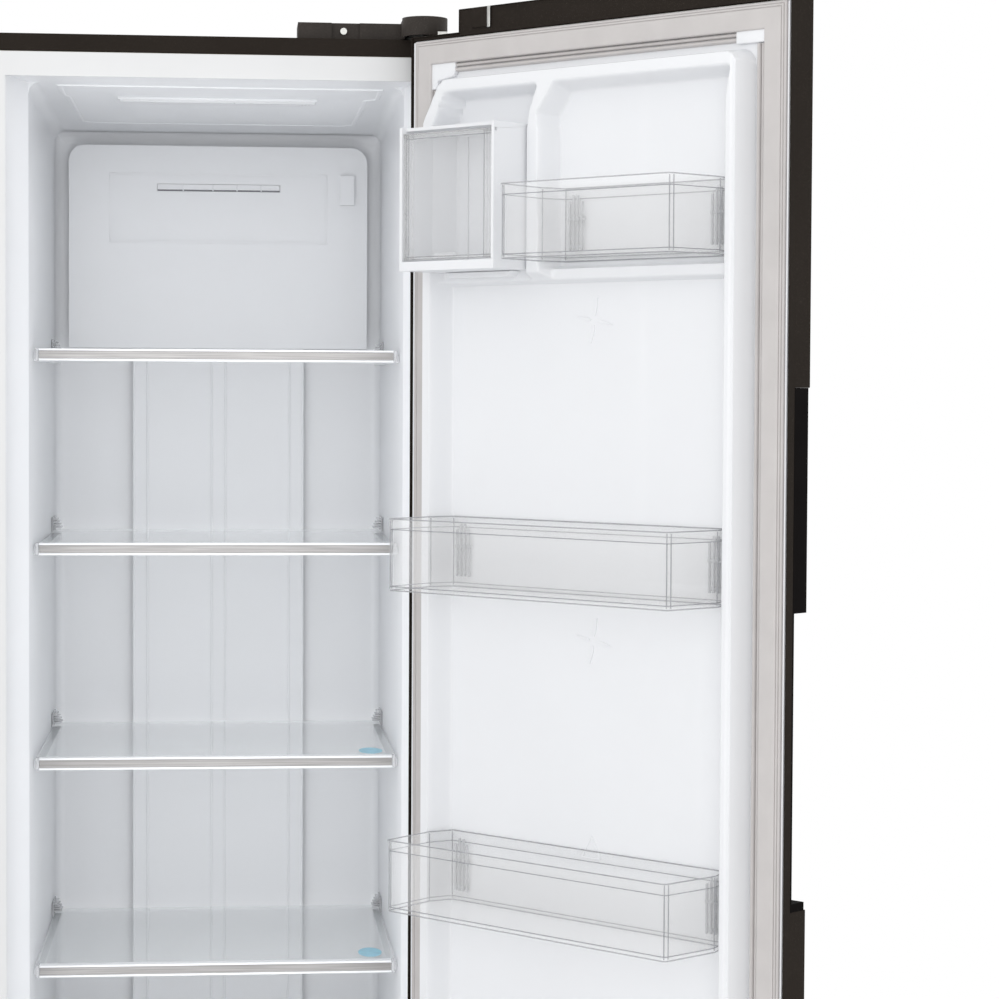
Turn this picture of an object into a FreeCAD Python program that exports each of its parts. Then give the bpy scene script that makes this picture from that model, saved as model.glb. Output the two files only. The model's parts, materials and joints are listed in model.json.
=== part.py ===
import FreeCAD, Part
import os, re

# Side by side refrigerator, millimetres, +Z up.
# Origin: on the floor, on the cabinet's centre line, in the plane of the cabinet's front face.
# +X to the right seen from the front, +Y into the cabinet. Both doors stand open at their stops.

App = FreeCAD
V3 = App.Vector
doc = App.newDocument("SideBySide")
sheet = doc.addObject("Spreadsheet::Sheet", "Dims")

DIMS = [
    # cabinet
    ("half_w", 456.0), ("depth", 620.0), ("cab_bot", 40.0), ("cab_top", 1755.0),
    ("sheet_t", 1.2), ("return_w", 19.0), ("frame_t", 1.2),
    # fridge compartment: centre line, half widths at the mouth and at the back wall
    ("fr_cx", 205.7), ("fr_hw", 205.3), ("fr_hwb", 203.3), ("fr_m0", -20.5), ("fr_m1", 425.5), ("fr_d", 485.0),
    ("fz_cx", -257.5), ("fz_hw", 153.5), ("fz_hwb", 151.5), ("fz_m0", -425.5), ("fz_m1", -90.2), ("fz_d", 545.0),
    ("mouth_bot", 92.0), ("mouth_top", 1709.5), ("back_bot", 97.0), ("back_top", 1694.5), ("bevel_y", 50.0),
    ("liner_t", 2.0),
    ("hump_y", 385.0), ("hump_z", 338.0), ("room_y", 400.0), ("room_z", 300.0),
    ("pan_z", 45.0), ("sill_z", 72.0),
    # doors
    ("door_bot", 54.0), ("door_top", 1776.0), ("door_front", -39.0), ("door_back", -4.0),
    ("right_w", 506.1), ("left_w", 399.9), ("skin_t", 1.0),
    ("axis_in", 13.7), ("axis_y", -31.2), ("open_deg", 131.8), ("pin_rad", 5.0), ("run_gap", 0.06),
    ("notch_u", 70.0), ("notch_z", 1752.0),
    ("seal_in", 7.2), ("seal_w", 26.0), ("seal_top", 1746.2), ("seal_bot", 60.0),
    ("seal_y", -1.2), ("bed_y", -9.2),
    ("dike_y", 20.0), ("panel_y", -9.2), ("dike_h0", 41.5), ("dike_h1", 51.7), ("dike_f0", 49.0), ("dike_f1", 60.0),
    ("dike_bot", 100.0), ("dike_top", 1700.0),
    ("grip_bot", 872.0), ("grip_mid", 1163.0), ("grip_top", 1378.0), ("grip_w", 52.1), ("grip_y", -14.5),
    # shelves
    ("shelf_y", 100.0), ("shelf_d", 351.0), ("glass_t", 4.0), ("trim_h", 13.8), ("trim_hw", 202.7),
    ("shelf_a", 1418.8), ("shelf_b", 1201.3), ("shelf_c", 959.9), ("shelf_d1", 725.6), ("shelf_e", 520.0),
    ("duct_y", 468.0), ("duct_hw", 185.9),
    # bins
    ("bin_wall", 2.2), ("bin_reach", 90.0), ("bin_short", 62.0), ("bin_h", 76.0),
    # rolling and sliding pieces
    ("roller_rad", 20.0), ("axle_rad", 4.0), ("foot_rad", 20.0), ("stud_rad", 5.0),
    ("fan_rad", 58.0), ("shaft_rad", 3.0),
]
VAL = {}
for i, (alias, value) in enumerate(DIMS, 1):
    sheet.set("A%d" % i, alias)
    sheet.set("B%d" % i, str(value))
    sheet.setAlias("B%d" % i, alias)
    VAL[alias] = value
doc.recompute()
NAMES = sorted(VAL, key=len, reverse=True)
PAT = re.compile(r"(?<![\w.])(" + "|".join(NAMES) + r")(?!\w)")


def ex(e):
    return PAT.sub(lambda m: "Dims." + m.group(1), str(e))


def num(e):
    # The same expression worked out in Python, for sketch start positions and axes.
    s = str(e)
    total = 0.0
    tokens = re.findall(r"[A-Za-z_]\w*|\d+\.?\d*|[-+*/()]", s)
    pos = [0]

    def atom():
        t = tokens[pos[0]]
        pos[0] += 1
        if t == "(":
            v = expr()
            pos[0] += 1
            return v
        if t == "-":
            return -atom()
        if t == "+":
            return atom()
        return VAL[t] if t in VAL else float(t)

    def term():
        v = atom()
        while pos[0] < len(tokens) and tokens[pos[0]] in "*/":
            op = tokens[pos[0]]
            pos[0] += 1
            w = atom()
            v = v * w if op == "*" else v / w
        return v

    def expr():
        v = term()
        while pos[0] < len(tokens) and tokens[pos[0]] in "+-":
            op = tokens[pos[0]]
            pos[0] += 1
            w = term()
            v = v + w if op == "+" else v - w
        return v

    return expr()


def bind(o, prop, e):
    o.setExpression(prop, ex(e))


COUNT = [0]


def nm(stem):
    COUNT[0] += 1
    return "%s_%03d" % (stem, COUNT[0])


# ---- Part primitives and booleans ----
def box(x0, x1, y0, y1, z0, z1, name="box"):
    o = doc.addObject("Part::Box", nm(name))
    bind(o, "Length", "(%s)-(%s)" % (x1, x0))
    bind(o, "Width", "(%s)-(%s)" % (y1, y0))
    bind(o, "Height", "(%s)-(%s)" % (z1, z0))
    bind(o, "Placement.Base.x", x0)
    bind(o, "Placement.Base.y", y0)
    bind(o, "Placement.Base.z", z0)
    return o


def cyl(cx, cy, cz, r, length, axis="Z", name="cyl"):
    # The cylinder starts at (cx, cy, cz) and runs along +axis.
    o = doc.addObject("Part::Cylinder", nm(name))
    bind(o, "Radius", r)
    bind(o, "Height", length)
    rot = {"Z": App.Rotation(), "X": App.Rotation(V3(0, 1, 0), 90), "Y": App.Rotation(V3(1, 0, 0), -90)}[axis]
    o.Placement = App.Placement(V3(num(cx), num(cy), num(cz)), rot)
    bind(o, "Placement.Base.x", cx)
    bind(o, "Placement.Base.y", cy)
    bind(o, "Placement.Base.z", cz)
    return o


def wedge(x0, x1, x0b, x1b, zb, zt, zbb, ztb, y0, y1, name="wedge"):
    # A box that tapers along Y: the first rectangle is at y0, the second at y1.
    o = doc.addObject("Part::Wedge", nm(name))
    for p, e in (("Xmin", x0), ("Xmax", x1), ("X2min", x0b), ("X2max", x1b),
                 ("Ymin", y0), ("Ymax", y1), ("Zmin", zb), ("Zmax", zt), ("Z2min", zbb), ("Z2max", ztb)):
        setattr(o, p, num(e))
        bind(o, p, e)
    return o


def cut(a, b, name="cut"):
    if isinstance(b, (list, tuple)):
        b = fuse(b) if len(b) > 1 else b[0]
    o = doc.addObject("Part::Cut", nm(name))
    o.Base = a
    o.Tool = b
    return o


def fuse(items, name="fuse"):
    o = doc.addObject("Part::MultiFuse", nm(name))
    o.Shapes = list(items)
    return o


def common(a, b, name="common"):
    o = doc.addObject("Part::Common", nm(name))
    o.Base = a
    o.Tool = b
    return o


def group(items, name="group"):
    o = doc.addObject("Part::Compound", nm(name))
    o.Links = list(items)
    return o


# ---- PartDesign helpers ----
def body(label):
    b = doc.addObject("PartDesign::Body", label)
    b.Label = label
    return b


def plane(b, role):
    return [f for f in b.Origin.OriginFeatures if f.Role == role][0]


def sketch(b, role, off="0"):
    # XY: sketch x, y are X, Y. XZ: x, y are X, Z and the offset is along -Y. YZ: x, y are Y, Z.
    s = b.newObject("Sketcher::SketchObject", nm("Sketch"))
    s.AttachmentSupport = [(plane(b, role), "")]
    s.MapMode = "FlatFace"
    s.AttachmentOffset = App.Placement(V3(0, 0, num(off)), App.Rotation())
    bind(s, "AttachmentOffset.Base.z", off)
    return s


def poly(s, pts):
    # Closed polygon; every vertex is held by two driving distances from the sketch origin.
    import Sketcher
    n0 = s.GeometryCount
    P = [V3(num(a), num(c), 0) for a, c in pts]
    n = len(P)
    for i in range(n):
        s.addGeometry(Part.LineSegment(P[i], P[(i + 1) % n]), False)
    for i in range(n):
        s.addConstraint(Sketcher.Constraint("Coincident", n0 + i, 2, n0 + (i + 1) % n, 1))
    for i, (a, c) in enumerate(pts):
        for kind, e in (("DistanceX", a), ("DistanceY", c)):
            k = s.addConstraint(Sketcher.Constraint(kind, -1, 1, n0 + i, 1, num(e)))
            s.setExpression("Constraints[%d]" % k, ex(e))


def rect(s, x0, x1, y0, y1):
    poly(s, [(x0, y0), (x1, y0), (x1, y1), (x0, y1)])


def circle(s, cx, cy, r):
    import Sketcher
    g = s.addGeometry(Part.Circle(V3(num(cx), num(cy), 0), V3(0, 0, 1), num(r)), False)
    for kind, e in (("DistanceX", cx), ("DistanceY", cy)):
        k = s.addConstraint(Sketcher.Constraint(kind, -1, 1, g, 3, num(e)))
        s.setExpression("Constraints[%d]" % k, ex(e))
    k = s.addConstraint(Sketcher.Constraint("Radius", g, num(r)))
    s.setExpression("Constraints[%d]" % k, ex(r))


def pad(b, s, length, rev=False):
    p = b.newObject("PartDesign::Pad", nm("Pad"))
    p.Profile = s
    p.Length = num(length)
    bind(p, "Length", length)
    p.Reversed = rev
    s.Visibility = False
    return p


def pocket(b, s, length, rev=False, through=False):
    p = b.newObject("PartDesign::Pocket", nm("Pocket"))
    p.Profile = s
    if through:
        p.Type = "ThroughAll"
        p.Midplane = True
    else:
        p.Length = num(length)
        bind(p, "Length", length)
    p.Reversed = rev
    return p


def revolve(b, s, axis, angle=360.0):
    r = b.newObject("PartDesign::Revolution", nm("Revolution"))
    r.Profile = s
    r.ReferenceAxis = (s, [axis])
    r.Angle = angle
    return r


def slab(b, role, pts, lo, hi, cutting=False):
    # Prism on an origin plane between two coordinates along the plane's world axis.
    if role == "XZ_Plane":
        s = sketch(b, role, "-(%s)" % lo)
        poly(s, pts)
        return pocket(b, s, "(%s)-(%s)" % (hi, lo), rev=False) if cutting else pad(b, s, "(%s)-(%s)" % (hi, lo), rev=True)
    s = sketch(b, role, lo)
    poly(s, pts)
    return pocket(b, s, "(%s)-(%s)" % (hi, lo), rev=True) if cutting else pad(b, s, "(%s)-(%s)" % (hi, lo), rev=False)


def R4(x0, x1, y0, y1):
    return [(x0, y0), (x1, y0), (x1, y1), (x0, y1)]


def fillet_all(b, feat, r, pick):
    # Rounds the edges of the last feature that pick() accepts.
    doc.recompute()
    names = []
    for i, e in enumerate(feat.Shape.Edges, 1):
        if pick(e):
            names.append("Edge%d" % i)
    if not names:
        raise RuntimeError("no edge to round in " + b.Label)
    f = b.newObject("PartDesign::Fillet", nm("Fillet"))
    f.Base = (feat, names)
    f.Radius = r
    doc.recompute()
    if "Invalid" in f.State or f.Shape.isNull() or not f.Shape.isValid():
        b.removeObject(f)
        doc.removeObject(f.Name)
        b.Tip = feat
        return feat
    return f


def vertical(e):
    return e.Curve.TypeId == "Part::GeomLine" and abs(e.tangentAt(e.FirstParameter).z) > 0.99


PARTS = {}


def keep(label, o, placement=None):
    o.Label = label
    if placement is not None:
        o.Placement = placement
    PARTS[label] = o
    return o


# =====================================================================
# CABINET
# =====================================================================
keep("outer_case", cut(
    box("-half_w", "half_w", "0", "depth", "cab_bot", "cab_top"),
    [box("-half_w+sheet_t", "half_w-sheet_t", "sheet_t", "depth+1", "cab_bot-1", "cab_top-sheet_t"),
     box("-half_w+return_w", "half_w-return_w", "-1", "sheet_t+1", "cab_bot-1", "cab_top-return_w")]
    + [cyl(str(m * (456 - hx)), "38", "cab_top-14", "3.3", "20", "Z") for m in (1, -1) for hx in (128, 78, 28)]))

b = body("front_frame")
s = sketch(b, "XZ_Plane", "0")
rect(s, "-half_w+return_w+0.3", "half_w-return_w-0.3", "cab_bot+8", "cab_top-return_w-0.3")
rect(s, "fr_m0", "fr_m1", "mouth_bot", "mouth_top")
rect(s, "fz_m0", "fz_m1", "mouth_bot", "mouth_top")
pad(b, s, "frame_t", rev=True)
keep("front_frame", b)

b = body("rear_panel")
f = slab(b, "XZ_Plane", R4("-half_w+sheet_t+0.2", "half_w-sheet_t-0.2", "room_z+2", "cab_top-sheet_t-0.2"),
         "depth-1.2", "depth")
slab(b, "XZ_Plane", R4("-150", "150", "1500", "1502"), "depth-0.6", "depth+1", cutting=True)
slab(b, "XZ_Plane", R4("-150", "150", "700", "702"), "depth-0.6", "depth+1", cutting=True)
keep("rear_panel", b)


def cavity(k, grow, front):
    # Compartment space grown by a wall thickness: bevelled mouth, tapering chamber, and the step
    # over the machine room left out.
    cx, hw, hwb, m0, m1, dd = (k + "_cx", k + "_hw", k + "_hwb", k + "_m0", k + "_m1", k + "_d")
    mouth = wedge("%s-%s" % (m0, grow), "%s+%s" % (m1, grow), "%s-%s-%s" % (cx, hw, grow), "%s+%s+%s" % (cx, hw, grow),
                  "mouth_bot-%s" % grow, "mouth_top+%s" % grow, "mouth_bot+0.5-%s" % grow, "mouth_top-1.5+%s" % grow,
                  front, "bevel_y")
    room = wedge("%s-%s-%s" % (cx, hw, grow), "%s+%s+%s" % (cx, hw, grow), "%s-%s-%s" % (cx, hwb, grow), "%s+%s+%s" % (cx, hwb, grow),
                 "mouth_bot+0.5-%s" % grow, "mouth_top-1.5+%s" % grow, "back_bot-%s" % grow, "back_top+%s" % grow,
                 "bevel_y", "%s+%s" % (dd, grow))
    return cut(fuse([mouth, room]), box("%s-%s-30" % (cx, hw), "%s+%s+30" % (cx, hw), "hump_y+%s" % grow, "%s+30" % dd,
                                        "mouth_bot-20", "hump_z-%s" % grow))


def liner(label, k, rows):
    cx, hw, hwb, dd = k + "_cx", k + "_hw", k + "_hwb", k + "_d"
    shell = cut(cavity(k, "liner_t", "frame_t"), cavity(k, "0", "0"))
    items = []
    for y0, y1, z0, z1 in rows:
        items.append(box("%s-%s-6" % (cx, hw), "%s-%s+9" % (cx, hwb), y0, y1, z0, z1))
        items.append(box("%s+%s-9" % (cx, hwb), "%s+%s+6" % (cx, hw), y0, y1, z0, z1))
    limit = wedge("%s-%s-0.8" % (cx, hw), "%s+%s+0.8" % (cx, hw), "%s-%s-0.8" % (cx, hwb), "%s+%s+0.8" % (cx, hwb),
                  "mouth_bot", "mouth_top", "back_bot", "back_top", "bevel_y", dd)
    keep(label, fuse([shell, common(fuse(items), limit)]))


SHELF = ["shelf_a", "shelf_b", "shelf_c", "shelf_d1", "shelf_e"]
rows = [("shelf_y+20", "shelf_y+shelf_d-6", "%s-1.5-glass_t-8.4" % a, "%s-1.5-glass_t-0.4" % a) for a in SHELF]
rows += [("128", "440", "336", "344.6")]
liner("fridge_liner", "fr", rows)
FZ = ["1475", "1245", "1015", "785", "558"]
rows = [("shelf_y+20", "shelf_y+330", "%s-1.5-glass_t-8.4" % a, "%s-1.5-glass_t-0.4" % a) for a in FZ]
rows += [("128", "440", "336", "344.6")]
liner("freezer_liner", "fz", rows)

keep("insulation_foam", cut(
    box("-half_w+sheet_t", "half_w-sheet_t", "frame_t", "depth-1.2", "sill_z+2", "cab_top-sheet_t"),
    [cavity("fr", "liner_t", "frame_t-0.2"), cavity("fz", "liner_t", "frame_t-0.2"),
     box("-half_w", "half_w", "room_y-2", "depth+1", "0", "room_z+2"), PARTS["fridge_liner"], PARTS["freezer_liner"]]
    + [cyl(str(m * (456 - hx)), "38", "cab_top-14", "3.3", "20", "Z") for m in (1, -1) for hx in (128, 78, 28)]))

# Base pan: one bent sheet with the roller forks and their axles.
b = body("base_pan")
s = sketch(b, "YZ_Plane", "-half_w+4")
poly(s, [("2", "sill_z"), ("room_y-2", "sill_z"), ("room_y-2", "pan_z"), ("depth-3", "pan_z"), ("depth-3", "pan_z+2"),
         ("room_y", "pan_z+2"), ("room_y", "room_z"), ("room_y-2", "room_z"), ("room_y-2", "sill_z+2"), ("2", "sill_z+2")])
pad(b, s, "2*half_w-8")
for sx in ("-400", "400"):
    for dx in (("-14.5", "-12.5"), ("12.5", "14.5")):
        slab(b, "YZ_Plane", R4("570", "610", "12", "pan_z+1"), "%s%s" % (sx, dx[0] if dx[0][0] == "-" else "+" + dx[0]),
             "%s%s" % (sx, dx[1] if dx[1][0] == "-" else "+" + dx[1]))
    s = sketch(b, "YZ_Plane", "%s-13.5" % sx)
    circle(s, "590", "roller_rad", "axle_rad")
    pad(b, s, "27")
keep("base_pan", b)

for side, sx in (("right", "400"), ("left", "-400")):
    b = body("rear_roller_" + side)
    s = sketch(b, "YZ_Plane", "%s-11.5" % sx)
    circle(s, "590", "roller_rad", "roller_rad")
    circle(s, "590", "roller_rad", "axle_rad+run_gap")
    pad(b, s, "23")
    keep("rear_roller_" + side, b)

for side, sx in (("right", "380"), ("left", "-380")):
    # Round pad, hexagon for the spanner and threaded stud, turned in one piece.
    b = body("levelling_foot_" + side)
    s = sketch(b, "XZ_Plane", "0")
    poly(s, [("0", "0"), ("foot_rad-1.5", "0"), ("foot_rad", "1.5"), ("foot_rad", "6"), ("11", "9"), ("11", "17"),
             ("stud_rad", "17"), ("stud_rad", "sill_z-0.2"), ("0", "sill_z-0.2")])
    revolve(b, s, "V_Axis")
    keep("levelling_foot_" + side, b, App.Placement(V3(num(sx), 55, 0), App.Rotation()))

# Toe grille with a row of slots.
b = body("kick_grille")
slab(b, "XZ_Plane", R4("-350", "350", "10", "sill_z-1"), "18", "22")
p = slab(b, "XZ_Plane", R4("-330", "-318", "18", "sill_z-12"), "16", "24", cutting=True)
pat = b.newObject("PartDesign::LinearPattern", "GrilleSlots")
pat.Originals = [p]
pat.Direction = (plane(b, "X_Axis"), [""])
pat.Length = 648
pat.Occurrences = 28
b.Tip = pat
keep("kick_grille", b)

# Machine room
b = body("compressor")
s = sketch(b, "XZ_Plane", "0")
poly(s, [("0", "0"), ("62", "0"), ("74", "14"), ("78", "60"), ("79", "62"), ("79", "70"), ("76", "72"), ("73", "120"),
         ("58", "148"), ("30", "158"), ("0", "160")])
revolve(b, s, "V_Axis")
slab(b, "XY_Plane", R4("-105", "105", "-52", "52"), "-3", "8")
s = sketch(b, "XY_Plane", "8")
circle(s, "-88", "0", "9")
pad(b, s, "36")
keep("compressor", b, App.Placement(V3(230, 525, 62), App.Rotation()))

b = body("drip_tray")
slab(b, "XY_Plane", R4("-350", "-100", "425", "612"), "pan_z+2.4", "76")
slab(b, "XY_Plane", R4("-347.5", "-102.5", "427.5", "609.5"), "pan_z+5", "80", cutting=True)
keep("drip_tray", b)

fins = [box("-330+%d*13" % i, "-329+%d*13" % i, "445", "605", "84", "236") for i in range(17)]
tubes = [cyl("-334", "%d" % (465 + 40 * j), "%d" % (100 + 40 * k), "5", "222", "X") for j in range(4) for k in range(4)]
keep("condenser", fuse(fins + tubes))

b = body("condenser_fan_shroud")
slab(b, "YZ_Plane", R4("430", "612", "pan_z+3", "250"), "-72", "-68")
s = sketch(b, "YZ_Plane", "-74")
circle(s, "525", "155", "fan_rad+5")
pocket(b, s, "10", rev=True)
for pts in (R4("462", "588", "151", "159"), R4("521", "529", "92", "218")):
    slab(b, "YZ_Plane", pts, "-72", "-68")
s = sketch(b, "YZ_Plane", "-72")
circle(s, "525", "155", "20")
pad(b, s, "24")
s = sketch(b, "YZ_Plane", "-48")
circle(s, "525", "155", "shaft_rad")
pad(b, s, "22")
keep("condenser_fan_shroud", b)


def rotor(label, sketch_gap, place):
    # Hub with a bore and five pitched blades; turns about its own Z axis.
    b = body(label)
    s = sketch(b, "XY_Plane", "0")
    circle(s, "0", "0", "17")
    circle(s, "0", "0", "shaft_rad+run_gap")
    pad(b, s, "18")
    s = sketch(b, "YZ_Plane", "14")
    poly(s, [("-15", "1.5"), ("-13.6", "0.4"), ("15", "16"), ("13.6", "17.2")])
    blade = pad(b, s, "fan_rad-15")
    pat = b.newObject("PartDesign::PolarPattern", label + "_blades")
    pat.Originals = [blade]
    pat.Axis = (plane(b, "Z_Axis"), [""])
    pat.Angle = 360
    pat.Occurrences = 5
    b.Tip = pat
    keep(label, b, place)


rotor("condenser_fan", "0", App.Placement(V3(-46, 525, 155), App.Rotation(V3(0, 1, 0), 90)))

b = body("machine_cover")
slab(b, "XZ_Plane", R4("-half_w+5", "half_w-5", "pan_z+3", "room_z"), "depth-1.2", "depth")
p = slab(b, "XZ_Plane", R4("-400", "-370", "90", "94"), "depth-3", "depth+2", cutting=True)
pat = b.newObject("PartDesign::LinearPattern", "CoverSlotsX")
pat.Originals = [p]
pat.Direction = (plane(b, "X_Axis"), [""])
pat.Length = 560
pat.Occurrences = 15
b.Tip = pat
p2 = slab(b, "XZ_Plane", R4("-400", "-370", "130", "134"), "depth-3", "depth+2", cutting=True)
pat = b.newObject("PartDesign::LinearPattern", "CoverSlotsX2")
pat.Originals = [p2]
pat.Direction = (plane(b, "X_Axis"), [""])
pat.Length = 560
pat.Occurrences = 15
b.Tip = pat
p3 = slab(b, "XZ_Plane", R4("-400", "-370", "170", "174"), "depth-3", "depth+2", cutting=True)
pat = b.newObject("PartDesign::LinearPattern", "CoverSlotsX3")
pat.Originals = [p3]
pat.Direction = (plane(b, "X_Axis"), [""])
pat.Length = 560
pat.Occurrences = 15
b.Tip = pat
s = sketch(b, "XZ_Plane", "-(depth-4)")
circle(s, "380", "110", "7.1")
pocket(b, s, "8", rev=False)
keep("machine_cover", b)

# Bored bush where the mains lead leaves the cabinet.
b = body("mains_cord_gland")
s = sketch(b, "YZ_Plane", "0")
poly(s, [("-9", "3.8"), ("-9", "9"), ("-1.4", "9"), ("-1.4", "7"), ("0.2", "7"), ("0.2", "11"), ("3", "11"), ("12", "7"), ("12", "3.8")])
revolve(b, s, "H_Axis")
keep("mains_cord_gland", b, App.Placement(V3(380, num("depth"), 110), App.Rotation()))

# Freezer back: evaporator, its fan and the duct cover that carries the motor
fins = [box("-370+%d*12" % i, "-369+%d*12" % i, "485", "535", "600", "900") for i in range(19)]
tubes = [cyl("-374", "%d" % (498 + 24 * j), "%d" % (625 + 36 * k), "4.5", "232", "X") for j in range(2) for k in range(8)]
keep("evaporator", fuse(fins + tubes))

plate = box("fz_cx-145", "fz_cx+145", "470", "474", "352", "1680")
slots = [box("fz_cx-%d" % (60), "fz_cx+60", "468", "476", z, "%s+9" % z) for z in ("1610", "1360", "1130", "900", "660", "440")]
slots.append(cyl("fz_cx", "468", "1240", "fan_rad+4", "8", "Y"))
spokes = [box("fz_cx-64", "fz_cx+64", "470", "474", "1236", "1244"), box("fz_cx-4", "fz_cx+4", "470", "474", "1176", "1304"),
          cyl("fz_cx", "470", "1240", "20", "22", "Y"), cyl("fz_cx", "491", "1240", "shaft_rad", "24", "Y")]
keep("freezer_duct_cover", fuse([cut(plate, slots)] + spokes))
rotor("evaporator_fan", "0", App.Placement(V3(num("fz_cx"), 494, 1240), App.Rotation(V3(1, 0, 0), -90)))

# Fridge air duct cover: upper panel with an outlet slot, a sensor cover and a lower air column
b = body("fridge_duct_cover")
f = slab(b, "XZ_Plane", R4("fr_cx-duct_hw", "fr_cx+duct_hw", "1425.5", "1678"), "duct_y", "duct_y+5")
f = fillet_all(b, f, 20.0, lambda e: e.Curve.TypeId == "Part::GeomLine" and abs(e.tangentAt(e.FirstParameter).y) > 0.99
               and e.BoundBox.ZMin > 1600)
slab(b, "XZ_Plane", R4("fr_cx-107", "fr_cx+107", "345", "1426"), "duct_y+4", "duct_y+9")
slab(b, "XZ_Plane", R4("fr_cx-76.4", "fr_cx+76.4", "1621.6", "1630.7"), "duct_y-4", "duct_y+8", cutting=True)
slab(b, "XZ_Plane", R4("fr_cx-135.4", "fr_cx+135.4", "1557", "1644"), "duct_y-4", "duct_y+0.8", cutting=True)
slab(b, "XZ_Plane", R4("357.3", "375", "1606", "1643"), "duct_y-6", "duct_y+0.5")
keep("fridge_duct_cover", b)

b = body("fridge_lamp_cover")
slab(b, "XY_Plane", R4("fr_cx-110.5", "fr_cx+110.5", "158", "174"), "1699.5", "1704")
keep("fridge_lamp_cover", b)

# Shelves: toughened glass plates and their front trims
for i, a in enumerate(SHELF, 1):
    b = body("fridge_shelf_%d" % i)
    f = slab(b, "XY_Plane", R4("fr_cx-fr_hwb+2.6", "fr_cx+fr_hwb-2.6", "shelf_y+6.2", "shelf_y+shelf_d"),
             "%s-1.5-glass_t" % a, "%s-1.5" % a)
    fillet_all(b, f, 5.0, vertical)
    keep("fridge_shelf_%d" % i, b)
trims = []
for a in SHELF:
    trims.append(cut(box("fr_cx-trim_hw", "fr_cx+trim_hw", "shelf_y", "shelf_y+14", "%s-trim_h" % a, a),
                     [box("fr_cx-trim_hw+1.7", "fr_cx+trim_hw-1.7", "shelf_y+6", "shelf_y+15", "%s-1.5-glass_t-0.2" % a, "%s+1" % a),
                      box("fr_cx-trim_hw+3", "fr_cx+trim_hw-3", "shelf_y+8", "shelf_y+15", "%s-trim_h-1" % a, "%s-9" % a)]))
keep("shelf_trims", group(trims))
plates = [box("fz_cx-fz_hwb+1.4", "fz_cx+fz_hwb-1.4", "shelf_y", "shelf_y+345", "%s-1.5-glass_t" % a, "%s-1.5" % a) for a in FZ]
lips = [box("fz_cx-fz_hwb+1.4", "fz_cx+fz_hwb-1.4", "shelf_y-6", "shelf_y", "%s-trim_h+1.5" % a, "%s" % a) for a in FZ]
keep("freezer_shelves", group([fuse([p, q]) for p, q in zip(plates, lips)]))


# Drawers: moulded tubs with a thick front and a finger ledge
def drawer(label, cx, hw, y0, y1, z0, z1):
    b = body(label)
    f = slab(b, "XY_Plane", R4("%s-%s" % (cx, hw), "%s+%s" % (cx, hw), y0, y1), z0, z1)
    f = fillet_all(b, f, 8.0, vertical)
    slab(b, "XY_Plane", R4("%s-%s+3" % (cx, hw), "%s+%s-3" % (cx, hw), "%s+5" % y0, "%s-3" % y1), "%s+3" % z0, "%s+5" % z1, cutting=True)
    # finger ledge along the top of the front
    slab(b, "XZ_Plane", R4("%s-%s+10" % (cx, hw), "%s+%s-10" % (cx, hw), "%s-26" % z1, "%s-3" % z1), "%s-14" % y0, "%s+1" % y0)
    slab(b, "XZ_Plane", R4("%s-%s+13" % (cx, hw), "%s+%s-13" % (cx, hw), "%s-27" % z1, "%s-6" % z1), "%s-11" % y0, "%s" % y0, cutting=True)
    keep(label, b)


drawer("crisper_drawer_upper", "fr_cx", "189", "140", "450", "346", "503")
drawer("crisper_drawer_lower", "fr_cx", "189", "140", "378", "103", "330")
drawer("freezer_drawer_upper", "fz_cx", "139", "140", "450", "346", "542")
drawer("freezer_drawer_lower", "fz_cx", "139", "140", "378", "103", "330")

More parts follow.
